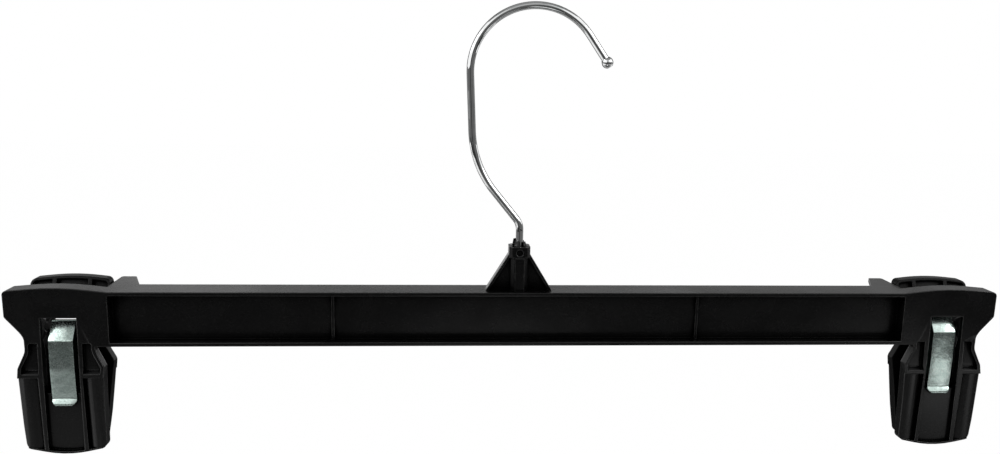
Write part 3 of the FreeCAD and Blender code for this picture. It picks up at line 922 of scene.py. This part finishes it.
@dataclass
class SwivelHook:
    """The hook: one bent wire with a headed tip and a bead in the boss."""

    node: str = "swivel_hook"
    body: str = "hook"
    wire: float = 2.7 * MM
    crook_radius: float = 22.8 * MM
    crook_end: float = math.radians(35)
    lean: float = math.radians(2.5)
    slope: float = math.radians(39.2)
    second_below: float = 32.7 * MM
    first_below: float = 53.6 * MM
    first_bend: float = 6.0 * MM
    second_bend: float = 36.0 * MM
    bead: float = 4.2 * MM
    bead_length: float = 2.0 * MM
    tip_length: float = 11.3 * MM
    tip_stops: tuple[float, ...] = (0.05, 0.5, 0.95, 0.99)
    ball: float = 4.2 * MM
    ball_flat: float = 0.3 * MM
    ball_rings: int = 14
    sides: int = 40
    step: float = math.radians(2.5)

    def path(self) -> list[tuple[Vector, float]]:
        """Draws the wire's middle line.

        Returns:
            Its points from the stem's end to the tip, each with its thickness as a share of the wire's.
        """
        centre = Vector((0.0, -(self.crook_radius - self.wire / 2)))
        swivel = joint_place("hook_swivel")
        stem_x = swivel.x
        start_angle = math.pi + self.lean
        crook_start = centre + Vector((math.cos(start_angle), math.sin(start_angle))) * self.crook_radius
        first_z = centre.y - self.first_below
        second_z = centre.y - self.second_below
        second_x = stem_x - (second_z - first_z) * math.tan(self.slope)
        bead_z = swivel.z
        bead_half = self.bead_length / 2
        bead_share = self.bead / self.wire
        shoulder = (self.bead - self.wire) / 2
        corners = [
            (stem_x, bead_z + bead_half, 0.0),
            (stem_x, first_z, self.first_bend),
            (second_x, second_z, self.second_bend),
            (crook_start.x, crook_start.y, 0.0),
        ]
        stem = [
            (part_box(self.node)[0].z, 1.0),
            (bead_z - bead_half, 1.0),
            (bead_z - bead_half, bead_share),
            (bead_z + bead_half - shoulder, bead_share),
        ]
        line = [(Vector((stem_x, 0.0, z)), share) for z, share in stem]
        line += [(Vector((x, 0.0, z)), 1.0) for x, z in rounded_run(corners, self.step)]
        turn = start_angle - self.crook_end
        count = math.ceil(turn / self.step)
        for number in range(1, count + 1):
            angle = start_angle - turn * number / count
            spot = centre + Vector((math.cos(angle), math.sin(angle))) * self.crook_radius
            line.append((Vector((spot.x, 0.0, spot.y)), 1.0))
        last = line[-1][0]
        onward = Vector((math.sin(self.crook_end), 0.0, -math.cos(self.crook_end)))
        tip = last + onward * self.tip_length
        half, neck = self.ball / 2, self.wire / 2
        low = -math.sqrt(half ** 2 - neck ** 2)
        high = half - self.ball_flat
        line += [(last + onward * (self.tip_length + low) * share, 1.0) for share in self.tip_stops]
        for number in range(self.ball_rings + 1):
            swing = (1 - math.cos(math.pi * number / self.ball_rings)) / 2
            offset = low + (high - low) * swing
            line.append((tip + onward * offset, math.sqrt(max(half ** 2 - offset ** 2, 0.0)) / neck))
        return line

    def sweep(self, material: bpy.types.Material) -> tuple[bpy.types.NodeTree, dict[str, Any]]:
        """A tree that sweeps a circle along a curve.

        Args:
            material: the finish of the result.

        Returns:
            The tree, and the values of its inputs by identifier.
        """
        tree = bpy.data.node_groups.new("wire_sweep", "GeometryNodeTree")
        face = tree.interface
        face.new_socket("Path", in_out="INPUT", socket_type="NodeSocketGeometry")
        radius = face.new_socket("Wire radius", in_out="INPUT", socket_type="NodeSocketFloat")
        sides = face.new_socket("Sides", in_out="INPUT", socket_type="NodeSocketInt")
        face.new_socket("Wire", in_out="OUTPUT", socket_type="NodeSocketGeometry")
        graph = Graph(tree)
        entry = graph.node("NodeGroupInput")
        sockets = entry.socket.node.outputs
        ring = graph.node("GeometryNodeCurvePrimitiveCircle", {"mode": "RADIUS"}, {
            "Resolution": Signal(graph, sockets["Sides"]), "Radius": Signal(graph, sockets["Wire radius"])})
        swept = graph.node("GeometryNodeCurveToMesh", None, {
            "Curve": entry, "Profile Curve": ring, "Scale": graph.node("GeometryNodeInputRadius"),
            "Fill Caps": True})
        smooth = graph.node("GeometryNodeSetShadeSmooth", None, {"Geometry": swept})
        whole = graph.node("GeometryNodeRealizeInstances", None, {"Geometry": smooth})
        dressed = graph.node("GeometryNodeSetMaterial", None, {"Geometry": whole, "Material": material})
        graph.node("NodeGroupOutput", None, {"Wire": dressed})
        return tree, {radius.identifier: self.wire / 2, sides.identifier: self.sides}

    def build(self, material: bpy.types.Material) -> bpy.types.Object:
        """Makes the hook.

        Args:
            material: its finish.

        Returns:
            The piece.
        """
        line = self.path()
        curve = bpy.data.curves.new("hook_line", "CURVE")
        curve.dimensions = "3D"
        spline = curve.splines.new("POLY")
        spline.points.add(len(line) - 1)
        for point, (place, share) in zip(spline.points, line):
            point.co = (*place, 1.0)
            point.radius = share
        rail = bpy.data.objects.new("hook_line", curve)
        bpy.context.scene.collection.objects.link(rail)
        tree, values = self.sweep(material)
        modifier = rail.modifiers.new("sweep", "NODES")
        modifier.node_group = tree
        for identifier, value in values.items():
            modifier[identifier] = value
        depsgraph = bpy.context.evaluated_depsgraph_get()
        mesh = bpy.data.meshes.new_from_object(rail.evaluated_get(depsgraph), depsgraph=depsgraph)
        bpy.data.objects.remove(rail)
        return link("bent_" + self.node, mesh, [material])

    def dress(self, material: bpy.types.Material) -> bpy.types.Object:
        """Builds the hook and puts it on its body.

        Args:
            material: its finish.

        Returns:
            The piece.
        """
        piece = self.build(material)
        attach(piece, self.body)
        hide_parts(self.node)
        return piece


# Studio


@dataclass(frozen=True)
class Softbox:
    """A soft rectangular lamp that faces the hanger."""

    name: str
    place: Triple
    size: Pair
    level: float
    mirrored: bool = True

    def build(self, target: Vector) -> None:
        """Hangs the lamp.

        Args:
            target: the point that it faces.
        """
        data = bpy.data.lights.new(self.name, "AREA")
        data.shape = "RECTANGLE"
        data.size, data.size_y = self.size
        data.energy = self.level * math.pi * self.size[0] * self.size[1]
        made = bpy.data.objects.new(self.name, data)
        place = Vector(self.place)
        facing = (target - place).to_track_quat("-Z", "Y").to_matrix().to_4x4()
        made.matrix_world = Matrix.Translation(place) @ facing
        made.visible_glossy = self.mirrored
        bpy.context.scene.collection.objects.link(made)


@dataclass(frozen=True)
class Flag:
    """A curved sheet round the hanger that only reflections show.

    It runs between two rims, each a radius and a height from the hanger's middle, and from one turn to
    another in degrees, with 0 at the front and the right positive.
    """

    name: str
    turns: Pair
    lower: Pair
    upper: Pair
    level: float
    steps: int = 24

    def build(self, target: Vector) -> None:
        """Stands the sheet up.

        Args:
            target: the point that it goes round.
        """
        rows = []
        for number in range(self.steps + 1):
            turn = math.radians(self.turns[0] + (self.turns[1] - self.turns[0]) * number / self.steps)
            for radius, height in (self.lower, self.upper):
                rows.append(target + Vector((radius * math.sin(turn), -radius * math.cos(turn), height)))
        mesh = bpy.data.meshes.new(self.name)
        mesh.from_pydata(rows, [], [(2 * k, 2 * k + 2, 2 * k + 3, 2 * k + 1) for k in range(self.steps)])
        sheet = link(self.name, mesh, [CardPaint(self.name, self.level).material()])
        sheet.visible_camera = False
        sheet.visible_diffuse = False
        sheet.visible_shadow = False
        sheet.visible_transmission = False
        sheet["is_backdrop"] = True


@dataclass
class Studio:
    """Floor, white surround, soft lamps, reflection cards and the camera."""

    target: Vector
    floor_drop: float = 1.3
    floor_size: float = 30.0
    ambient: float = 0.35
    lens: float = 31.86
    sensor: float = 36.0
    near: float = 10 * MM
    eye: Triple = (-33.63 * MM, -311.93 * MM, -20.10 * MM)
    yaw: float = math.radians(4.07)
    pitch: float = math.radians(10.2)
    roll: float = math.radians(1.10)
    lamps: tuple[Softbox, ...] = (
        Softbox("overhead_softbox", (0.0, 0.1, 1.0), (1.2, 0.8), 0.9, mirrored=False),
        Softbox("left_softbox", (-1.0, -0.45, 0.5), (0.6, 0.4), 4.5),
        Softbox("right_softbox", (1.05, -0.45, 0.5), (0.6, 0.4), 4.5),
    )
    flags: tuple[Flag, ...] = (
        Flag("front_flag", (-18, 14), (1.3, -0.2), (1.3, 0.47), 0.14),
        Flag("left_front_flag", (-80, -18), (1.3, -0.2), (1.3, 0.1), 0.12),
        Flag("right_front_flag", (14, 80), (1.3, -0.2), (1.3, 0.27), 0.12),
        Flag("brow_flag", (-18, 18), (1.3, 0.47), (0.2, 1.2), 0.45),
        Flag("table_flag", (-80, 80), (1.3, -0.46), (1.3, -0.2), 0.03),
        Flag("inner_table", (-16, 20), (1.29, -0.46), (1.29, -0.2), 0.07),
        Flag("middle_table", (-18, 28), (1.3, -0.58), (1.3, -0.46), 0.12),
        Flag("middle_apron", (-6, 8), (1.3, -1.1), (1.3, -0.58), 0.3),
        Flag("inner_left_apron", (-18, -6), (1.3, -1.1), (1.3, -0.58), 0.25),
        Flag("left_apron", (-50, -18), (1.3, -0.62), (1.3, -0.46), 0.2),
        Flag("left_skirt", (-50, -18), (1.3, -1.1), (1.3, -0.62), 0.35),
        Flag("left_floor", (-95, -50), (1.3, -1.1), (1.3, -0.46), 1.0),
        Flag("inner_right_apron", (8, 28), (1.3, -0.85), (1.3, -0.58), 0.3),
        Flag("right_apron", (28, 48), (1.3, -0.85), (1.3, -0.46), 0.18),
        Flag("outer_right_apron", (48, 64), (1.3, -0.85), (1.3, -0.58), 0.6),
        Flag("right_floor", (8, 95), (1.3, -1.1), (1.3, -0.85), 0.2),
        Flag("right_wall", (48, 95), (1.32, -0.85), (1.32, -0.46), 0.08),
        Flag("right_side_flag", (80, 160), (1.3, -0.28), (1.3, 0.14), 0.2),
        Flag("left_side_flag", (205, 280), (1.3, -0.28), (1.3, 0.14), 0.2),
        Flag("rear_flag", (120, 240), (1.3, -1.1), (1.3, -0.28), 0.08),
        Flag("under_flag", (-70, 70), (0.02, -1.15), (1.25, -1.1), 0.09),
        Flag("rear_under_flag", (70, 290), (0.02, -1.15), (1.25, -1.1), 0.35),
        Flag("lens_flag", (-16, 6), (1.1, -0.17), (1.1, 0.17), 0.03),
        Flag("back_flag", (110, 250), (0.25, 0.065), (0.12, 0.25), 0.1),
        Flag("hook_card", (-22, 22), (0.22, -0.31), (0.22, -0.035), 0.06),
        Flag("channel_card", (-13, 17), (0.215, -0.31), (0.215, -0.113), 0.85),
        Flag("right_spring_card", (45, 63), (0.344, -0.158), (0.344, -0.112), 0.95),
        Flag("left_spring_card", (-88, -62), (0.19, 0.022), (0.17, 0.04), 0.3),
        Flag("top_card", (0, 360), (0.75, 0.9), (0.005, 0.92), 0.25),
        Flag("right_back_card", (120, 195), (1.3, 0.14), (1.3, 0.6), 0.4),
        Flag("left_back_card", (195, 240), (1.3, 0.14), (1.3, 0.6), 0.55),
        Flag("rear_sky", (110, 250), (1.3, 0.6), (0.75, 0.9), 0.25),
    )

    def world(self) -> None:
        """A white surround, dimmer where it only lights the hanger."""
        world = bpy.data.worlds.new("white_surround")
        world.use_nodes = True
        bpy.context.scene.world = world
        graph = Graph(world.node_tree)
        strength = seen_directly(graph) * (1.0 - self.ambient) + self.ambient
        glow = graph.node("ShaderNodeBackground", None, {"Color": grey(1.0), "Strength": strength})
        graph.node("ShaderNodeOutputWorld", None, {"Surface": glow})

    def floor(self) -> None:
        """The pale floor, well below the hanging part."""
        half = self.floor_size / 2
        low = self.target - Vector((0.0, 0.0, self.floor_drop))
        signs = ((-1, -1), (1, -1), (1, 1), (-1, 1))
        mesh = bpy.data.meshes.new("floor")
        mesh.from_pydata([low + Vector((x * half, y * half, 0.0)) for x, y in signs], [], [(0, 1, 2, 3)])
        link("floor", mesh, [PaleFloor().material()])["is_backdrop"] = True

    def light(self) -> None:
        """The soft lamps, and the flags that only reflections show."""
        for item in (*self.lamps, *self.flags):
            item.build(self.target)

    def camera(self) -> None:
        """The camera, as the hanger was seen."""
        turn = Matrix.Rotation(self.roll, 3, "Y") @ Matrix.Rotation(self.pitch, 3, "X")
        turn = turn @ Matrix.Rotation(self.yaw, 3, "Z")
        axes = Matrix((turn[0], turn[2], -turn[1])).transposed()
        data = bpy.data.cameras.new("camera")
        data.lens = self.lens
        data.sensor_width = self.sensor
        data.clip_start = self.near
        made = bpy.data.objects.new("camera", data)
        made.matrix_world = Matrix.Translation(Vector(self.eye)) @ axes.to_4x4()
        bpy.context.scene.collection.objects.link(made)
        bpy.context.scene.camera = made

    def build(self) -> None:
        """Sets the whole studio up."""
        self.world()
        self.floor()
        self.light()
        self.camera()
        bpy.context.scene.view_settings.view_transform = "Standard"


def main() -> None:
    """Builds every piece, then the studio."""
    logging.basicConfig(level=logging.INFO, format="%(message)s")
    solid_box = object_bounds()
    moulding = MouldedBlack().material()
    rear_moulding = REAR_BLACK_WITH_PAINTED_SHADE.material()
    zinc = ZincStrip().material()
    pieces = [HangerBar().dress(moulding)]
    for side in Side:
        pieces.append(RearJaw(side.value + "_rear_jaw", side.jaw).dress(rear_moulding))
        pieces.append(ClipSpring(side).dress(zinc))
    pieces.append(SwivelHook().dress(BrightWire().material()))
    for piece in pieces:
        LOG.info("%s: %d faces", piece.name, len(piece.data.polygons))
    Studio((solid_box[0] + solid_box[1]) / 2).build()


if __name__ == "__main__":
    main()
